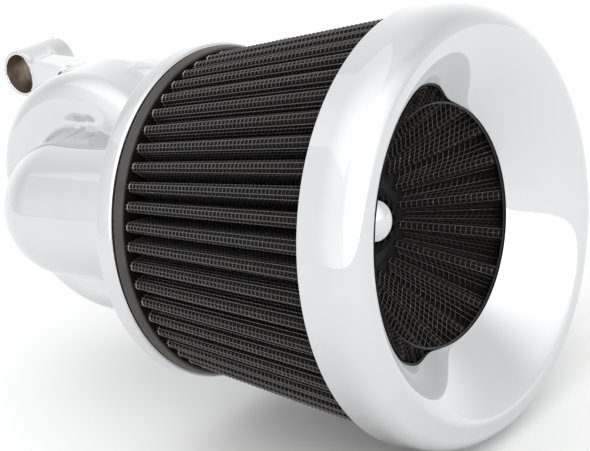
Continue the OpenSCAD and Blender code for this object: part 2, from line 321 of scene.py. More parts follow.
def cast_finish():
    """The duct's inside: cast metal with a fine sandy skin."""
    f = Finish("cast_inside")
    where = f.place()
    sand = f.noise(where, 0.9, 4, 0.6)
    return f.done(
        Base_Color=f.blend(f.noise(where, 18, 3), (0.42, 0.42, 0.42), (0.56, 0.56, 0.55)),
        Metallic=0.85, Roughness=0.34 + 0.2 * sand, Normal=f.bump(sand, 0.08))


def rubber_finish(name, colour, gloss):
    """Moulded rubber with a fine grain and faint dusty patches."""
    f = Finish(name)
    where = f.place()
    grain = f.noise(where, 0.5, 3, 0.6)
    dust = f.ramp(f.noise(where, 14, 4, 0.6), [(0.38, 0.0), (0.72, 1.0)])
    return f.done(
        Base_Color=f.blend(dust, shaded(colour, 0.85), shaded(colour, 1.25)),
        Roughness=gloss + 0.12 * grain, Normal=f.bump(grain, 0.03))


def cloth_finish():
    """Black filter cloth: crossed threads under a thin film of dark oil."""
    colour = bpy.context.scene.intake_finish.cloth
    f = Finish("filter_cloth")
    where = f.place()
    threads = f.noise(where, 0.35, 2, 0.7)
    damp = f.noise(where, 7, 3)
    return f.done(
        Base_Color=f.blend(damp, shaded(colour, 0.7), shaded(colour, 1.6)),
        Roughness=0.7 + 0.25 * threads, Normal=f.bump(threads, 0.12), Specular_IOR_Level=0.08)


def wire_finish(name, bare_from, bare_to, share=1.0):
    """Coated wire. Between bare_from and bare_to along X the coating thins and the bright wire shows."""
    colour = bpy.context.scene.intake_finish.wire
    f = Finish(name)
    where = f.place()
    x = f.add("ShaderNodeSeparateXYZ", {}, {0: where})
    bare = f.add("ShaderNodeMapRange", {"clamp": True}, {
        "Value": x, "From Min": bare_to * MM, "From Max": bare_from * MM, "To Min": 0.0, "To Max": 1.0})
    chips = f.ramp(f.noise(where, 1.6, 3), [(0.60, 0.0), (0.70, 1.0)])
    shine = bare + 0.12 * chips
    # share scales the wire colour; the inner screen's 0.38 is painted shade for its place deep in the throat
    return f.done(
        Base_Color=f.blend(shine, shaded(colour, share), (0.72, 0.70, 0.66)),
        Metallic=0.75 + 0.2 * bare,
        Roughness=0.38 - 0.12 * chips)


def steel_finish():
    """Zinc plated steel with fine turning marks."""
    colour = bpy.context.scene.intake_finish.steel
    f = Finish("plated_steel")
    where = f.place()
    marks = f.noise(f.place((3.5, 0.6, 0.6)), 1.2, 3)
    return f.done(
        Base_Color=f.blend(f.noise(where, 6, 3), shaded(colour, 0.8), shaded(colour, 1.15)),
        Metallic=1.0, Roughness=0.24 + 0.16 * marks, Normal=f.bump(marks, 0.02))


def floor_finish():
    """Pale matt floor with the faintest unevenness."""
    colour = bpy.context.scene.intake_finish.floor
    f = Finish("pale_floor")
    where = f.place()
    return f.done(
        Base_Color=f.blend(f.noise(where, 240, 3), shaded(colour, 0.985), shaded(colour, 1.01)),
        Roughness=0.75 + 0.1 * f.noise(where, 30, 2))


FINISHES = {}


def finish(name):
    """A material by name, made the first time it is asked for."""
    colours = bpy.context.scene.intake_finish
    makers = {
        "chrome_casting": lambda: chrome_finish("chrome_casting", 0.16, 0.045),
        "chrome_trim": lambda: chrome_finish("chrome_trim", 0.05, 0.035),
        "bare_bore": bore_finish,
        "cast_inside": cast_finish,
        "rear_rubber": lambda: rubber_finish("rear_rubber", colours.rear_rubber, 0.42),
        "black_rubber": lambda: rubber_finish("black_rubber", colours.black_rubber, 0.34),
        "filter_cloth": cloth_finish,
        "outer_wire": lambda: wire_finish("outer_wire", PLEAT_LO[0], PLEAT_LO[0] + 2.2),
        # painted shade: the inner screen's wire is the same wire colour darkened to 0.38, for the shade inside the
        # throat
        "inner_wire_painted_shade": lambda: wire_finish("inner_wire_painted_shade", INNER_LO[0] - 9, INNER_LO[0] - 8, 0.38),
        "plated_steel": steel_finish,
        "pale_floor": floor_finish,
    }
    if name not in FINISHES:
        FINISHES[name] = makers[name]()
    return FINISHES[name]


# ---------- mesh helpers ----------

def placed(name, data):
    """A new object in the scene, at the origin."""
    made = bpy.data.objects.new(name, data)
    bpy.context.scene.collection.objects.link(made)
    return made


def make_piece(name, points_mm, faces, finishes, body, stands_for, face_finish=None):
    """Makes a finished piece at the origin from points in millimetres, and ties it to its CAD body."""
    mesh = bpy.data.meshes.new(name)
    mesh.from_pydata((np.asarray(points_mm, float) * MM).tolist(), [], [list(f) for f in faces])
    piece = placed(name, mesh)
    for label in finishes:
        mesh.materials.append(finish(label))
    if face_finish is not None:
        mesh.polygons.foreach_set("material_index", np.asarray(face_finish, np.int32))
    mesh.polygons.foreach_set("use_smooth", [True] * len(mesh.polygons))
    mesh.update()
    tie(piece, body, stands_for)
    return piece


def tie(piece, body, stands_for):
    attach(piece, body)
    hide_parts(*stands_for)


def sharpen(piece, degrees):
    """Keeps edges crisp where two faces meet at more than this angle."""
    piece.data.set_sharp_from_angle(angle=math.radians(degrees))


def rounded(corners, steps=6):
    """A profile through (x, r, radius) corners, each rounded with its own radius."""
    out = []
    count = len(corners)
    for i in range(count):
        p = np.array(corners[i][:2], float)
        radius = corners[i][2]
        before = np.array(corners[i - 1][:2], float) - p
        after = np.array(corners[(i + 1) % count][:2], float) - p
        if radius == 0:
            out.append(p)
            continue
        before /= np.linalg.norm(before)
        after /= np.linalg.norm(after)
        half = math.acos(np.clip(before @ after, -1, 1)) / 2
        middle = before + after
        centre = p + middle / np.linalg.norm(middle) * radius / math.sin(half)
        start = p + before * radius / math.tan(half) - centre
        end = p + after * radius / math.tan(half) - centre
        turn = math.atan2(start[0] * end[1] - start[1] * end[0], start @ end)
        for k in range(steps + 1):
            a = turn * k / steps
            out.append(centre + (start[0] * math.cos(a) - start[1] * math.sin(a),
                                 start[0] * math.sin(a) + start[1] * math.cos(a)))
    return np.array(out)


def grid_faces(rows, columns, wrap_rows, wrap_columns):
    """Quads over a grid of points numbered row by row."""
    r = np.arange(rows if wrap_rows else rows - 1)
    c = np.arange(columns if wrap_columns else columns - 1)
    r, c = (a.ravel() for a in np.meshgrid(r, c, indexing="ij"))
    up, right = (r + 1) % rows, (c + 1) % columns
    return np.stack([r * columns + c, r * columns + right, up * columns + right, up * columns + c], 1)


def turned(profile, segments=256, ripple=None, centres=None):
    """Turns a closed profile of (x, r) points about the filter axis. A point with its own centre (y, z) turns
    about that instead, and ripple(angle) gives the profile's shift along X at its first points."""
    angles = np.linspace(0, 2 * math.pi, segments, endpoint=False)
    x, r = profile[:, 0], profile[:, 1]
    centre = np.tile([AXIS_Y, AXIS_Z], (len(profile), 1)) if centres is None else np.asarray(centres, float)
    points = np.empty((segments, len(profile), 3))
    points[:, :, 0] = FACE_X + x
    if ripple is not None:
        points[:, :, 0] += ripple(angles)
    points[:, :, 1] = centre[:, 0] + np.outer(np.cos(angles), r)
    points[:, :, 2] = centre[:, 1] + np.outer(np.sin(angles), r)
    return points.reshape(-1, 3), grid_faces(segments, len(profile), True, True)


def outward(points, faces):
    """Turns all faces round if the closed mesh is inside out."""
    a, b, c = (points[faces[:, k]] for k in (0, 1, 2))
    d = points[faces[:, 3]]
    volume = np.einsum("ij,ij->i", a, np.cross(b, c)).sum() + np.einsum("ij,ij->i", a, np.cross(c, d)).sum()
    return faces if volume > 0 else faces[:, ::-1]


def turned_piece(name, profile, finishes, body, slot, stands_for, segments=256, crisp=34, **more):
    points, faces = turned(profile, segments, **more)
    piece = make_piece(name, points, outward(points, faces), finishes, body, stands_for)
    sharpen(piece, crisp)
    return piece


# ---------- the casting: distances to simple forms, joined with fillets ----------

def join_soft(a, b, size):
    """Union of two distances with a fillet about size wide."""
    h = np.clip(0.5 + 0.5 * (b - a) / size, 0, 1)
    return b * (1 - h) + a * h - size * h * (1 - h)


def cut_soft(a, b, size):
    """a with b cut out of it, the edge rounded by about size."""
    return -join_soft(-a, b, size)


def slab(across, along, half_across, half_along, edge):
    """Distance to a rectangle with rounded corners, in a plane."""
    qx = np.abs(across) - half_across + edge
    qy = np.abs(along) - half_along + edge
    return np.minimum(np.maximum(qx, qy), 0) + np.hypot(np.maximum(qx, 0), np.maximum(qy, 0)) - edge


def duct(p, radius, soft):
    """A right-angle duct with a ball corner, along +X and +Y from the bend, softened inside the bend only."""
    x, y, z = p[0], p[1] - BEND_Y, p[2]
    soft = soft * np.clip(np.minimum(x, y) / (radius / 3), 0.001, 1)
    along_x = np.sqrt(np.minimum(x, 0) ** 2 + y ** 2 + z ** 2) - radius
    along_y = np.sqrt(x ** 2 + np.minimum(y, 0) ** 2 + z ** 2) - radius
    return join_soft(along_x, along_y, soft)


def post(p, x, z, y0, y1, radius, edge):
    """A round post along Y with rounded ends."""
    across = np.hypot(p[0] - x, p[2] - z)
    return slab(across, p[1] - (y0 + y1) / 2, radius, (y1 - y0) / 2, edge)


def arm(p, start, end, z, half_t0, half_t1, half_h0, half_h1):
    """A bar with flat sides between two places in plan, tapering from start to end."""
    ax, ay = end[0] - start[0], end[1] - start[1]
    length = math.hypot(ax, ay)
    dx, dy = p[0] - start[0], p[1] - start[1]
    t = np.clip((dx * ax + dy * ay) / length ** 2, 0, 1)
    beyond = np.maximum(np.abs((dx * ax + dy * ay) / length - length / 2) - length / 2, 0)
    across = (dx * ay - dy * ax) / length
    side = slab(across, p[2] - z, half_t0 + (half_t1 - half_t0) * t, half_h0 + (half_h1 - half_h0) * t, 2.0)
    return np.hypot(np.maximum(side, 0), beyond) + np.minimum(side, 0)


def casting_distance(p):
    """Distance to the elbow casting without its flange, for points p of shape (3, n), in millimetres."""
    s = bpy.context.scene.intake_casting
    rho = np.hypot(p[0], p[2])
    ring_y = RING_BACK_Y + s.ring_tube
    depth = np.clip(p[1], ring_y, -s.ring_tube - 1.0)
    gallery = np.hypot(rho - s.ring_r, p[1] - depth) - s.ring_tube
    plate = slab(rho, p[1] + s.base_t / 2, BASE_HI[0] - 1.0, s.base_t / 2, 1.6)
    base = join_soft(gallery, plate, 2.5)
    pipe_ends = np.maximum(p[1] + s.base_t / 2, p[0] - FACE_X + FLANGE_T / 2)
    pipe = np.maximum(duct(p, DUCT_OUT_R, 5.0), pipe_ends)
    body = join_soft(pipe, base, 12.0)
    collar = slab(np.hypot(p[1] - BEND_Y, p[2]), p[0] - (FACE_X - FLANGE_T / 2),
                  DUCT_OUT_R + 4, FLANGE_T / 2 - 1.2, 0.8)
    body = join_soft(body, collar, 2.6)
    middle_y = (BOSS_START_Y + BOSS_END_Y) / 2
    arms = []
    for x, side in ((REAR_X, -1), (FRONT_X, 1)):
        bar = arm(p, (side * 14.0, -7.5), (x - side * 2, middle_y - 4), BOSS_Z, 8.0, 5.6, 7.6, 6.6)
        boss = post(p, x, BOSS_Z, BOSS_START_Y, BOSS_END_Y, BOSS_R, 0.8)
        arms.append(join_soft(bar, boss, 4.5))
    body = join_soft(body, join_soft(arms[0], arms[1], 1.0), 6.0)

    bore = duct(p, s.bore_r, 2.0)
    body = cut_soft(body, bore, 0.7)
    body = cut_soft(body, post(p, 0, 0, -s.seat_depth, 30, s.seat_r, 0.4), 0.6)
    seal_r = (SEAL_HI[0] - SEAL_LO[0]) / 2 - (SEAL_HI[1] - SEAL_LO[1]) / 2
    groove = slab(rho - seal_r, p[1], 1.7, 2.5, 0.3)
    body = cut_soft(body, groove, 0.5)
    for turn in (30, 150, 270):
        x = s.screw_circle * math.cos(math.radians(turn))
        z = -s.screw_circle * math.sin(math.radians(turn))
        body = cut_soft(body, post(p, x, z, -9.0, 9.0, s.screw_r, 0.3), 0.5)
    for x in (REAR_X, FRONT_X):
        wide = post(p, x, BOSS_Z, BOSS_START_Y - 20, BOSS_END_Y - s.bolt_len, s.boss_bore_r, 0.3)
        hole = post(p, x, BOSS_Z, BOSS_START_Y - 20, BOSS_END_Y + 20, s.bolt_r, 0.3)
        seal_line = (s.bolt_r + BOSS_R - 0.6) / 2
        seal = slab(np.hypot(p[0] - x, p[2] - BOSS_Z) - seal_line, p[1] - BOSS_END_Y, 1.25, 2.5, 0.2)
        body = cut_soft(cut_soft(cut_soft(body, wide, 0.6), hole, 0.4), seal, 0.3)
    return body


def slope(distance, p, step=0.05):
    """Unit outward direction of a distance field at points p."""
    out = np.empty_like(p)
    for axis in range(3):
        shift = np.zeros((3, 1))
        shift[axis] = step
        out[axis] = distance(p + shift) - distance(p - shift)
    return out / np.maximum(np.linalg.norm(out, axis=0), 1e-9)


def skin(distance, low, high, step):
    """Quads over the surface of a distance field, with points drawn onto the true surface."""
    counts = [int(math.ceil((high[k] - low[k]) / step)) + 1 for k in range(3)]
    axes = [low[k] + step * np.arange(counts[k]) for k in range(3)]
    field = np.empty(counts, np.float32)
    for i, x in enumerate(axes[0]):
        y, z = (a.ravel() for a in np.meshgrid(axes[1], axes[2], indexing="ij"))
        field[i] = distance(np.stack([np.full(y.size, x), y, z])).reshape(counts[1:])
    grid = openvdb.FloatGrid(background=3 * step)
    grid.copyFromArray(np.clip(field, -3 * step, 3 * step))
    points, faces = grid.convertToQuads()
    p = (points.astype(float) * step + np.asarray(low)).T
    start = p
    for _ in range(4):
        p = p - slope(distance, p) * np.clip(distance(p), -step / 3, step / 3)
    strayed = np.linalg.norm(p - start, axis=0) > step
    return np.where(strayed, start, p).T, faces.astype(int)


def casting_piece():
    s = bpy.context.scene.intake_casting
    low = np.minimum(np.minimum(ELBOW_LO, BASE_LO), REAR_LO) - 3
    high = np.maximum(np.maximum(ELBOW_HI, BASE_HI), FRONT_HI) + 3
    high[0] = max(high[0], FACE_X)
    points, faces = skin(casting_distance, low, high, s.grain)
    middle = points[faces].mean(1).T
    inside = (duct(middle, s.bore_r + 0.25, 2.0) < 0) & (middle[1] < -s.seat_depth + 0.5)
    bores = np.zeros(len(faces), bool)
    for x in (REAR_X, FRONT_X):
        bores |= (np.hypot(middle[0] - x, middle[2] - BOSS_Z) < s.boss_bore_r + 0.1) & (middle[1] > 2)
    which = np.where(bores, 1, np.where(inside, 2, 0))
    piece = make_piece(
        "elbow_casting", points, outward(points, faces), ["chrome_casting", "bare_bore", "cast_inside"],
        "root", ["intake_elbow", "throttle_base", "rear_breather_arm", "front_breather_arm"],
        face_finish=which)
    normals = slope(casting_distance, points.T).T
    piece.data.normals_split_custom_set_from_vertices(normals.tolist())
    return piece


def flange_piece():
    """Disc with polished edges. Its duct is off the disc's centre, so the inner corners turn about their own."""
    s = bpy.context.scene.intake_casting
    t, r = FLANGE_T, FLANGE_R
    disc = rounded([(-t, r, 1.3), (0, r, 1.1), (0, s.flare_r, 2.2), (-t / 2, s.bore_r, 1.5), (-t, s.bore_r, 0.3)], 8)
    is_disc = disc[:, 1] > (r + s.flare_r) / 2
    centres = np.where(is_disc[:, None], [[AXIS_Y, AXIS_Z]], [[BEND_Y, 0.0]])
    points, faces = turned(disc, 288, centres=centres)
    parts = [(points, outward(points, faces))]
    hub = rounded([(-t + 0.4, s.hub_r, 1.2), (-1, s.hub_r, 0.8), (-1, 4.0, 0.3), (-t + 0.4, 4.0, 0.3)], 4)
    points, faces = turned(hub, 64)
    parts.append((points, outward(points, faces)))
    for k in range(3):
        parts.append(spoke(math.radians(120 * k + 90), s.hub_r - 2, s.bore_r + 5))
    return joined("filter_flange_disc", parts, ["chrome_casting"], "root", ["filter_flange"], 34)


def spoke(angle, r0, r1):
    """One arm of the spider, rounded like a vane."""
    outline = rounded([(-FLANGE_T + 1, -2.5, 1.4), (-1.3, -2.5, 0.9), (-1.3, 2.5, 0.9), (-FLANGE_T + 1, 2.5, 1.4)], 4)
    along = np.array([math.cos(angle), math.sin(angle)])
    across = np.array([-along[1], along[0]])
    reach = np.linspace(r0, r1, 6)
    points = np.empty((len(reach), len(outline), 3))
    for i, r in enumerate(reach):
        points[i, :, 0] = FACE_X + outline[:, 0]
        points[i, :, 1:] = np.array([AXIS_Y, AXIS_Z]) + along * r + np.outer(outline[:, 1], across)
    points = points.reshape(-1, 3)
    faces = grid_faces(len(reach), len(outline), False, True)
    return points, capped(points, faces, len(outline), len(reach))


def capped(points, faces, columns, rows):
    """Closes both ends of a swept outline with quads drawn across it."""
    half = columns // 2
    caps = []
    for start in (0, (rows - 1) * columns):
        for k in range(half - 1):
            quad = [start + k, start + k + 1, start + columns - 2 - k, start + columns - 1 - k]
            caps.append(quad if start else quad[::-1])
    return outward(points, np.vstack([faces, caps]))


def joined(name, parts, finishes, body, stands_for, crisp):
    """One piece from several closed shells."""
    points, faces, base = [], [], 0
    for p, f in parts:
        points.append(p)
        faces.append(np.asarray(f) + base)
        base += len(p)
    piece = make_piece(name, np.vstack(points), np.vstack(faces), finishes, body, stands_for)
    sharpen(piece, crisp)
    return piece


# ---------- pleats and wire ----------

class Fold:
    """One pleat between two stations along the filter. Its section is a round tip, two flanks and half a
    valley on each side; pairs give the value at the first and the last station."""

    def __init__(self, count, x, tip, root, tip_w, root_w):
        self.half = math.pi / count
        self.x, self.tip, self.root, self.tip_w, self.root_w = x, tip, root, tip_w, root_w

    def section(self, t, tip_steps, flank_steps, valley_steps):
        """Points (across, out) and visible-side normals at t, from one valley's middle to the next."""
        at = lambda pair: pair[0] + (pair[1] - pair[0]) * t
        tip, root, w, v = at(self.tip), at(self.root), at(self.tip_w), at(self.root_w)
        sign = 1 if tip > root else -1
        ray = np.array([math.sin(self.half), math.cos(self.half)])
        left = np.array([-ray[1], ray[0]])
        points, normals = [], []
        for a in np.linspace(0, math.pi / 2, tip_steps + 1):
            points.append([w * math.sin(a), tip - sign * w * (1 - math.cos(a))])
            normals.append([math.sin(a), sign * math.cos(a)])
        centre = (root + sign * v) * ray
        start, end = np.array(points[-1]), centre + v * left
        for k in range(1, flank_steps):
            points.append(list(start + (end - start) * k / flank_steps))
            normal = np.array([1.0, 0.0]) * (1 - k / flank_steps) - left * k / flank_steps
            normals.append(list(normal / np.linalg.norm(normal)))
        for a in np.linspace(0, math.pi / 2, valley_steps + 1):
            spoke_dir = math.cos(a) * left - sign * math.sin(a) * ray
            points.append(list(centre + v * spoke_dir))
            normals.append(list(-spoke_dir))
        points, normals = np.array(points), np.array(normals)
        mirror = np.array([-1, 1])
        return (np.vstack([points[:0:-1] * mirror, points]), np.vstack([normals[:0:-1] * mirror, normals]))

    def surface(self, t, offset, tip_steps=4, flank_steps=3, valley_steps=3):
        """Points at t in the frame of the filter axis, moved out from the cloth's middle by offset."""
        p, n = self.section(t, tip_steps, flank_steps, valley_steps)
        q = p + offset * n
        x = self.x[0] + (self.x[1] - self.x[0]) * t
        return np.column_stack([np.full(len(q), x), q[:, 0], q[:, 1]]), np.column_stack([np.zeros(len(n)), n])


def cloth_unit(fold, half_t, stations=10):
    """The cloth of one pleat: both faces and both ends."""
    sides = []
    for offset in (half_t, -half_t):
        sides.append(np.array([fold.surface(t, offset)[0] for t in np.linspace(0, 1, stations)]))
    rows, columns = sides[0].shape[:2]
    points = np.vstack([s.reshape(-1, 3) for s in sides])
    front = grid_faces(rows, columns, False, False)
    faces = [front, front[:, ::-1] + rows * columns]
    c = np.arange(columns - 1)
    back = rows * columns
    first = np.stack([c, c + back, c + 1 + back, c + 1], 1)
    last = first + (rows - 1) * columns
    faces += [first, last[:, ::-1]]
    return points, np.vstack(faces)


def wire_unit(fold, offset, pitch, wire_r):
    """The wires of one pleat: hoops that follow the fold, and straight wires along it."""
    length = math.hypot(fold.x[1] - fold.x[0], fold.tip[1] - fold.tip[0])
    hoops = int(length / pitch)
    points, faces, base = [], [], 0
    corner = [math.radians(a) for a in (90, 210, 330)]
    for k in range(hoops):
        centre, normal = fold.surface((k + 0.6) / hoops, offset, 3, 1, 1)
        tube = np.stack([centre + wire_r * (math.sin(a) * normal + math.cos(a) * np.array([1.0, 0, 0]))
                         for a in corner], 1)
        points.append(tube.reshape(-1, 3))
        faces.append(grid_faces(len(centre), len(corner), False, True) + base)
        base += tube.shape[0] * len(corner)
    fine = 24
    ends = [fold.surface(t, offset - 0.6 * wire_r, fine, fine, fine) for t in (0, 1)]
    path = np.linalg.norm(np.diff(fold.surface(0.5, offset, fine, fine, fine)[0], axis=0), axis=1)
    run = np.concatenate([[0], np.cumsum(path)])
    count = int(round(run[-1] / pitch))
    for k in range(count):
        i = int(np.argmin(np.abs(run - run[-1] * (k + 0.5) / count)))
        ring = []
        for points_at, normals_at in ends:
            n = normals_at[i]
            side = np.array([0.0, n[2], -n[1]])
            ring.append([points_at[i] + wire_r * v for v in (n, side, -n, -side)])
        points.append(np.array(ring).reshape(-1, 3))
        sides = [[j, (j + 1) % 4, 4 + (j + 1) % 4, 4 + j] for j in range(4)]
        faces.append(np.array(sides + [[3, 2, 1, 0], [4, 5, 6, 7]]) + base)
        base += 8
    return np.vstack(points), np.vstack(faces)


def ring_tree():
    """Geometry nodes that repeat the object's own mesh round the filter axis and weld the copies."""
    tree = bpy.data.node_groups.get("pleat_ring")
    if tree:
        return tree
    tree = bpy.data.node_groups.new("pleat_ring", "GeometryNodeTree")
    for label, side, kind in (
            ("Geometry", "INPUT", "Geometry"), ("Count", "INPUT", "Int"), ("Centre", "INPUT", "Vector"),
            ("Material", "INPUT", "Material"), ("Geometry", "OUTPUT", "Geometry")):
        tree.interface.new_socket(label, in_out=side, socket_type="NodeSocket" + kind)
    new, link = tree.nodes.new, tree.links.new
    source, end = new("NodeGroupInput"), new("NodeGroupOutput")
    points = new("GeometryNodePoints")
    link(source.outputs["Count"], points.inputs["Count"])
    link(source.outputs["Centre"], points.inputs["Position"])
    index = new("GeometryNodeInputIndex")
    share = new("ShaderNodeMath")
    share.operation = "DIVIDE"
    link(index.outputs[0], share.inputs[0])
    link(source.outputs["Count"], share.inputs[1])
    angle = new("ShaderNodeMath")
    angle.operation = "MULTIPLY"
    angle.inputs[1].default_value = 2 * math.pi
    link(share.outputs[0], angle.inputs[0])
    turn = new("ShaderNodeCombineXYZ")
    link(angle.outputs[0], turn.inputs["X"])
    copies = new("GeometryNodeInstanceOnPoints")
    link(points.outputs[0], copies.inputs["Points"])
    link(source.outputs["Geometry"], copies.inputs["Instance"])
    link(turn.outputs[0], copies.inputs["Rotation"])
    real = new("GeometryNodeRealizeInstances")
    link(copies.outputs[0], real.inputs[0])
    weld = new("GeometryNodeMergeByDistance")
    weld.inputs["Distance"].default_value = 2e-6
    link(real.outputs[0], weld.inputs[0])
    paint = new("GeometryNodeSetMaterial")
    link(weld.outputs[0], paint.inputs["Geometry"])
    link(source.outputs["Material"], paint.inputs["Material"])
    link(paint.outputs[0], end.inputs[0])
    return tree


def ring_piece(name, unit, count, label, node, smooth, crisp=None):
    """A piece made of count copies of one unit round the filter axis."""
    points, faces = unit
    mesh = bpy.data.meshes.new(name)
    mesh.from_pydata((points * MM).tolist(), [], faces.tolist())
    mesh.polygons.foreach_set("use_smooth", [smooth] * len(mesh.polygons))
    piece = placed(name, mesh)
    modifier = piece.modifiers.new("pleats", "NODES")
    modifier.node_group = ring_tree()
    sockets = {s.name: s.identifier for s in modifier.node_group.interface.items_tree if s.in_out == "INPUT"}
    modifier[sockets["Count"]] = count
    modifier[sockets["Centre"]] = (0.0, AXIS_Y * MM, AXIS_Z * MM)
    modifier[sockets["Material"]] = finish(label)
    graph = bpy.context.evaluated_depsgraph_get()
    made = bpy.data.meshes.new_from_object(piece.evaluated_get(graph), depsgraph=graph)
    piece.modifiers.remove(modifier)
    piece.data = made
    made.name = name
    tie(piece, "filter_unit", [node])
    if crisp:
        sharpen(piece, crisp)
    return piece


def outer_fold():
    """The outer pleat, sized so that its wires fill the CAD screen's space."""
    s = bpy.context.scene.intake_filter
    skin_t = s.cloth_t / 2 + 2 * s.wire_r
    front_tip = half_span(PLEAT_LO, PLEAT_HI)
    cap_border = 2.3
    rear_tip = half_span(CAP_LO, CAP_HI) - cap_border
    rear_depth, front_depth = 12.8, 15.0
    tip_w, root_w = (1.0, 1.7), (1.0, 1.1)
    return Fold(s.outer_folds, (PLEAT_LO[0], PLEAT_HI[0]), (rear_tip - skin_t, front_tip - skin_t),
                (rear_tip - rear_depth, front_tip - front_depth), tip_w, root_w)


def inner_fold():
    """The inner pleat, whose tips point at the filter axis."""
    s = bpy.context.scene.intake_filter
    skin_t = s.cloth_t / 2 + 2 * s.wire_r
    cap_depth, throat_depth = 5.2, 10.4
    tip_w, root_w = (0.8, 1.3), (1.9, 3.2)
    return Fold(s.inner_folds, (INNER_LO[0], INNER_HI[0]), (s.inner_tip + skin_t, s.throat_tip + skin_t),
                (s.inner_tip + cap_depth, s.throat_tip + throat_depth), tip_w, root_w)


# ---------- trim ring and turned pieces ----------

def bezier(a, b, c, d, count):
    t = np.linspace(0, 1, count)[:, None]
    return (1 - t) ** 3 * a + 3 * t * (1 - t) ** 2 * b + 3 * t * t * (1 - t) * c + t ** 3 * d


def trim_profile(inset):
    """Outer face of the bell mouth as (x, r) points, moved inwards by inset."""
    s = bpy.context.scene.intake_ring
    skirt, front = station(TRIM_LO[0]), station(TRIM_HI[0])
    ring_r = half_span(TRIM_LO, TRIM_HI)
    start = np.array([skirt + s.skirt_len, ring_r - inset])
    crest = np.array([front - inset, ring_r - s.lip_width])
    throat = np.array([skirt + s.throat_step, s.throat_r + inset])
    full, crest_pull, throat_pull = 0.62, 0.22, 0.15
    lip = bezier(start, start + [full * (crest[0] - start[0]), 0], crest + [0, full * (start[1] - crest[1])], crest, 40)
    pull = throat_pull * (crest[0] - throat[0])
    funnel = bezier(crest, crest - [0, crest_pull * (crest[1] - throat[1])],
                    throat + pull * np.array([math.cos(s.funnel_angle), math.sin(s.funnel_angle)]), throat, 56)
    skirt_line = np.column_stack([np.linspace(skirt, start[0], 6, endpoint=False), np.full(6, ring_r - inset)])
    return np.vstack([skirt_line, lip[:-1], funnel])


def trim_piece():
    wall = bpy.context.scene.intake_ring.wall
    outer, inner = trim_profile(0), trim_profile(wall)
    return turned_piece("trim_ring_bell", np.vstack([outer, inner[::-1]]), ["chrome_trim"], "filter_unit",
                        "chrome_trim", ["trim_ring"], 320, 40)


def rear_cap_piece():
    """The rear end cap. Its flange-side edge is finely scalloped, and between the pleats its face takes the black cloth
    finish: partly oil on the potted cloth, partly painted shade in the deep pleat gaps.
    """
    x0, x1 = station(CAP_LO[0]), station(CAP_HI[0])
    r = half_span(CAP_LO, CAP_HI)
    bore, tips = r - 20, r - 2.0
    profile = rounded([(x0, r - 0.2, 0.5), (x1, r - 1.2, 0.5), (x1, tips, 0.0), (x1, bore, 1.0), (x0, bore, 1.0)], 5)
    scallops, scallop_depth = 150, 0.14
    near_edge = np.clip(1 - (profile[:, 0] - x0) / 1.2, 0, 1) * (profile[:, 1] > r - 3)

    def ripple(angles):
        return scallop_depth * np.outer(np.abs(np.sin(angles * scallops / 2)), near_edge)

    points, faces = turned(profile, 6 * scallops, ripple)
    faces = outward(points, faces)
    middle = points[faces].mean(1)
    # Oil and painted shade: faces on the cap's front inside the pleat tips get the black cloth finish.
    oil_and_shade = (np.hypot(middle[:, 1] - AXIS_Y, middle[:, 2] - AXIS_Z) < tips) & (middle[:, 0] > FACE_X + x1 - 0.2)
    piece = make_piece("rear_cap_moulding", points, faces, ["rear_rubber", "filter_cloth"], "filter_unit",
                       ["rear_end_cap"], face_finish=oil_and_shade)
    sharpen(piece, 40)


def front_cap_piece():
    """The front end cap: a thick moulding under the ring, with a bead round the throat."""
    s = bpy.context.scene.intake_ring
    x0, x1 = station(FRONT_CAP_LO[0]), station(FRONT_CAP_HI[0])
    r = half_span(FRONT_CAP_LO, FRONT_CAP_HI)
    inside = bpy.context.scene.intake_filter.throat_tip
    gap = 0.9
    back = trim_profile(s.wall + gap)
    back = back[(back[:, 0] < x1 - 0.2) & (back[:, 1] < r - 4)][::3]
    throat_x = back[-1, 0] - gap
    outside = rounded([(x0, inside, 0.4), (x0, r, 0.8), (x1 - 2, r, 0.8), (x1, r - 2, 0.8), (x1, back[0, 1], 0.0)], 4)
    bead = [(throat_x, inside + 0.8), (throat_x - 0.15, inside + 0.2)]
    return turned_piece("front_cap_moulding", np.vstack([outside, back, bead]), ["black_rubber"], "filter_unit",
                        "cap_rubber", ["front_end_cap"], 256, 40)


def inner_cap_piece():
    """The inner cap: a black disc with a raised bead outside and a soft dish round the washer."""
    x0, x1 = station(INNER_CAP_LO[0]), station(INNER_CAP_HI[0])
    r = half_span(INNER_CAP_LO, INNER_CAP_HI)
    bore = 8.0
    washer = half_span(WASHER_LO, WASHER_HI)
    profile = rounded([(x0, bore, 0.5), (x1, bore, 0.2), (x1, washer + 0.8, 0.2), (x1 + 0.5, washer + 1.4, 0.4),
                       (x1 + 0.5, 17.6, 0.6), (x1 - 0.2, 18.6, 0.6), (x1 - 0.2, r, 0.4), (x0, r, 0.6)], 5)
    return turned_piece("inner_cap_moulding", profile, ["black_rubber"], "filter_unit", "cap_rubber",
                        ["inner_cap"], 192, 40)


def nut_piece():
    """Domed centre nut: a short rim, a hex-free polished dome and a blind bore."""
    x0, x1 = station(NUT_LO[0]), station(NUT_HI[0])
    r = half_span(NUT_LO, NUT_HI)
    bore = 4.08
    rim = 2.5
    rise = x1 - x0 - rim
    ball = (r * r + rise * rise) / (2 * rise)
    reach = math.asin(min(1.0, r / ball))
    dome = [(x1 - ball + ball * math.cos(a), ball * math.sin(a)) for a in np.linspace(0.004, reach, 40)]
    rim_line = [(x0 + rim * k, r) for k in (0.85, 0.5, 0.25)] + [(x0 + 0.15, r - 0.1), (x0, r - 0.4)]
    inside = [(x0, bore + 0.3), (x0 + 0.3, bore), (x1 - 2.3, bore), (x1 - 2.0, bore - 0.3), (x1 - 2.0, 0.02)]
    profile = np.array(dome + rim_line + inside)
    return turned_piece("centre_nut_dome", profile, ["chrome_trim"], "centre_nut", "chrome_trim",
                        ["centre_nut"], 128, 40)


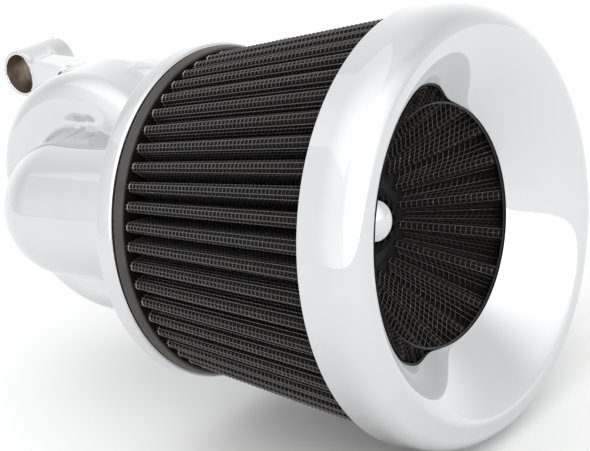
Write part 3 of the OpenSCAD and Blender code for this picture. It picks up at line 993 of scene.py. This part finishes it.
def washer_piece():
    x0, x1 = station(WASHER_LO[0]), station(WASHER_HI[0])
    r = half_span(WASHER_LO, WASHER_HI)
    profile = rounded([(x0, 4.3, 0.2), (x0, r, 0.35), (x1, r, 0.35), (x1, 4.3, 0.2)], 4)
    return turned_piece("cap_washer_ring", profile, ["plated_steel"], "filter_unit", "plain_steel",
                        ["cap_washer"], 128, 40)


def stud_piece():
    """The centre stud with a rolled thread."""
    x0, x1 = station(STUD_LO[0]), station(STUD_HI[0])
    r = half_span(STUD_LO, STUD_HI)
    pitch, depth, sides, per_turn = 1.25, 0.55, 40, 6
    rows = int((x1 - x0) / pitch * per_turn) + 1
    x = np.linspace(x0, x1, rows)
    turn = np.linspace(0, 2 * math.pi, sides, endpoint=False)
    phase = (x[:, None] / pitch - turn[None, :] / (2 * math.pi)) % 1
    groove = depth * np.clip(1.25 * np.abs(2 * phase - 1) - 0.15, 0, 1)
    run_out = np.minimum(1, (x1 - x) / 0.8)[:, None]
    radius = (r - groove) * (0.8 + 0.2 * run_out)
    points = np.stack([np.broadcast_to(FACE_X + x[:, None], radius.shape), AXIS_Y + radius * np.cos(turn),
                       AXIS_Z + radius * np.sin(turn)], 2).reshape(-1, 3)
    faces = capped(points, grid_faces(rows, sides, False, True), sides, rows)
    piece = make_piece("centre_stud_thread", points, faces, ["plated_steel"], "root", ["centre_stud"])
    sharpen(piece, 60)
    return piece


KEPT_NODES = {
    "throttle_seal": ("black_rubber", "seal_rubber"),
    "rear_breather_seal": ("black_rubber", "seal_rubber"),
    "front_breather_seal": ("black_rubber", "seal_rubber"),
    "jam_nut": ("plated_steel", "plain_steel"),
    "lock_washer": ("plated_steel", "plain_steel"),
    "cap_ferrule": ("plated_steel", "plain_steel"),
}


# ---------- operators ----------

class INTAKE_OT_casting(bpy.types.Operator):
    """Build the chromed elbow casting and its filter flange"""
    bl_idname = "intake.casting"
    bl_label = "Elbow casting"

    def execute(self, context):
        casting_piece()
        flange_piece()
        return {"FINISHED"}


class INTAKE_OT_pleats(bpy.types.Operator):
    """Build the outer and inner pleated cloth"""
    bl_idname = "intake.pleats"
    bl_label = "Pleated cloth"

    def execute(self, context):
        s = context.scene.intake_filter
        half = s.cloth_t / 2
        for label, fold, count in (("outer", outer_fold(), s.outer_folds), ("inner", inner_fold(), s.inner_folds)):
            ring_piece(f"{label}_cloth", cloth_unit(fold, half), count, "filter_cloth",
                       f"{label}_pleats", True, 50)
        return {"FINISHED"}


class INTAKE_OT_screens(bpy.types.Operator):
    """Build the wire screens on both sides of both cloths"""
    bl_idname = "intake.screens"
    bl_label = "Wire screens"

    def execute(self, context):
        s = context.scene.intake_filter
        out = s.cloth_t / 2 + s.wire_r
        for fold, count, label, wires in ((outer_fold(), s.outer_folds, "outer", "outer_wire"),
                                          (inner_fold(), s.inner_folds, "inner", "inner_wire_painted_shade")):
            for side, place in (("", out), ("_backing", -out)):
                ring_piece(f"{label}{side}_wires", wire_unit(fold, place, s.mesh_pitch, s.wire_r), count, wires,
                           f"{label}{side}_screen", False)
        return {"FINISHED"}


class INTAKE_OT_end_caps(bpy.types.Operator):
    """Build the moulded end caps of the filter"""
    bl_idname = "intake.end_caps"
    bl_label = "End caps"

    def execute(self, context):
        rear_cap_piece()
        front_cap_piece()
        inner_cap_piece()
        return {"FINISHED"}


class INTAKE_OT_trim_ring(bpy.types.Operator):
    """Build the bell-mouth trim ring"""
    bl_idname = "intake.trim_ring"
    bl_label = "Trim ring"

    def execute(self, context):
        trim_piece()
        return {"FINISHED"}


class INTAKE_OT_fasteners(bpy.types.Operator):
    """Build the stud, washer and domed nut, and finish the CAD pieces that stay as they are"""
    bl_idname = "intake.fasteners"
    bl_label = "Stud, nut and seals"

    def execute(self, context):
        stud_piece()
        washer_piece()
        nut_piece()
        for node, (label, slot) in KEPT_NODES.items():
            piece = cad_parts[node]
            piece.data.materials.clear()
            piece.data.materials.append(finish(label))
        return {"FINISHED"}


class INTAKE_OT_stage(bpy.types.Operator):
    """Set out the floor, the lights and the camera"""
    bl_idname = "intake.stage"
    bl_label = "Stage"

    def execute(self, context):
        lay_floor()
        hang_lights()
        set_camera()
        return {"FINISHED"}


def lay_floor():
    """A wide pale floor just under the ring."""
    reach = 6.0
    drop = CAD_BOX[0].z - 0.002
    mesh = bpy.data.meshes.new("floor")
    steps = np.linspace(-reach, reach, 9)
    points = [(x, y, drop) for y in steps for x in steps]
    mesh.from_pydata(points, [], grid_faces(9, 9, False, False).tolist())
    floor = placed("floor", mesh)
    mesh.materials.append(finish("pale_floor"))


HORIZON_GLOW, TOP_GLOW = 0.98, 0.84
# zones of the tent: direction, angle where the zone is full, angle where it ends, and its change in brightness
TENT_ZONES = (
    ((0.25, -0.86, 0.52), 10, 80, 0.38),
    ((0.0, -0.1, 1.0), 5, 62, 0.20),
    ((0.90, -0.30, 0.25), 15, 60, 0.62),
    ((-0.62, 0.73, -0.10), 20, 75, 0.24),
)


def hang_lights():
    """A white tent: a surround that dims a little with height, smooth brighter zones, and a soft box above."""
    world = bpy.data.worlds.new("white_tent")
    bpy.context.scene.world = world
    world.use_nodes = True
    tent = Shading(world.node_tree)
    heading = tent.add("ShaderNodeTexCoord")
    glow = tent.add("ShaderNodeMapRange", {"interpolation_type": "SMOOTHSTEP"}, {
        "Value": tent.add("ShaderNodeSeparateXYZ", {}, {0: heading}, out=2),
        "From Min": -0.1, "From Max": 0.8, "To Min": HORIZON_GLOW, "To Max": TOP_GLOW})
    for toward, inner, outer, change in TENT_ZONES:
        aim = Vector(toward).normalized()
        near = tent.add("ShaderNodeVectorMath", {"operation": "DOT_PRODUCT"}, {0: heading, 1: aim[:]}, out=1)
        glow = glow + tent.add("ShaderNodeMapRange", {"interpolation_type": "SMOOTHSTEP"}, {
            "Value": near, "From Min": math.cos(math.radians(outer)), "From Max": math.cos(math.radians(inner)),
            "To Min": 0.0, "To Max": change})
    tent.join(tent.tree.nodes["Background"], {"Strength": glow, "Color": (1.0, 1.0, 1.0)})
    lamp = bpy.data.lights.new("top_box", "AREA")
    lamp.shape = "RECTANGLE"
    lamp.size, lamp.size_y = 2.6, 2.2
    lamp.energy = 2
    box = placed("top_box", lamp)
    box.location = (-0.3, -0.5, 2.0)
    box.rotation_euler = (-box.location).to_track_quat("-Z", "Y").to_euler()


def set_camera():
    """The camera stands in front of the bell mouth, to its left, and looks slightly down."""
    lens = bpy.data.cameras.new("camera")
    lens.sensor_width = 36.0
    lens.lens = 109.8
    right, up, back = (0.785, 0.597, -0.164), (-0.061, 0.338, 0.939), (0.616, -0.727, 0.302)
    camera = placed("camera", lens)
    turn = Matrix((right, up, back)).transposed()
    camera.rotation_euler = turn.to_euler()
    stand = Vector((416.8, -456.4, 185.7)) + Vector((FACE_X, AXIS_Y, AXIS_Z))
    camera.location = stand * MM
    bpy.context.scene.camera = camera
    bpy.context.scene.view_settings.view_transform = "Standard"


class INTAKE_PT_panel(bpy.types.Panel):
    """Lists the steps that build the intake"""
    bl_label = "Intake"
    bl_idname = "INTAKE_PT_panel"
    bl_space_type = "VIEW_3D"
    bl_region_type = "UI"
    bl_category = "Intake"

    def draw(self, context):
        for settings in ("intake_casting", "intake_filter", "intake_ring", "intake_finish"):
            box = self.layout.box()
            group = getattr(context.scene, settings)
            for key in group.__annotations__:
                box.prop(group, key)
        for step in STEPS:
            self.layout.operator(step.bl_idname)


GROUPS = {
    "intake_casting": CastingSettings,
    "intake_filter": FilterSettings,
    "intake_ring": RingSettings,
    "intake_finish": FinishSettings,
}
STEPS = (INTAKE_OT_stage, INTAKE_OT_casting, INTAKE_OT_pleats, INTAKE_OT_screens, INTAKE_OT_end_caps,
         INTAKE_OT_trim_ring, INTAKE_OT_fasteners)


def register():
    for cls in (*GROUPS.values(), *STEPS, INTAKE_PT_panel):
        bpy.utils.register_class(cls)
    for name, group in GROUPS.items():
        setattr(bpy.types.Scene, name, PointerProperty(type=group))


def unregister():
    for name in GROUPS:
        delattr(bpy.types.Scene, name)
    for cls in (INTAKE_PT_panel, *reversed(STEPS), *reversed(list(GROUPS.values()))):
        bpy.utils.unregister_class(cls)


def main():
    register()
    for step in STEPS:
        group, name = step.bl_idname.split(".")
        getattr(getattr(bpy.ops, group), name)()


if __name__ == "__main__":
    main()
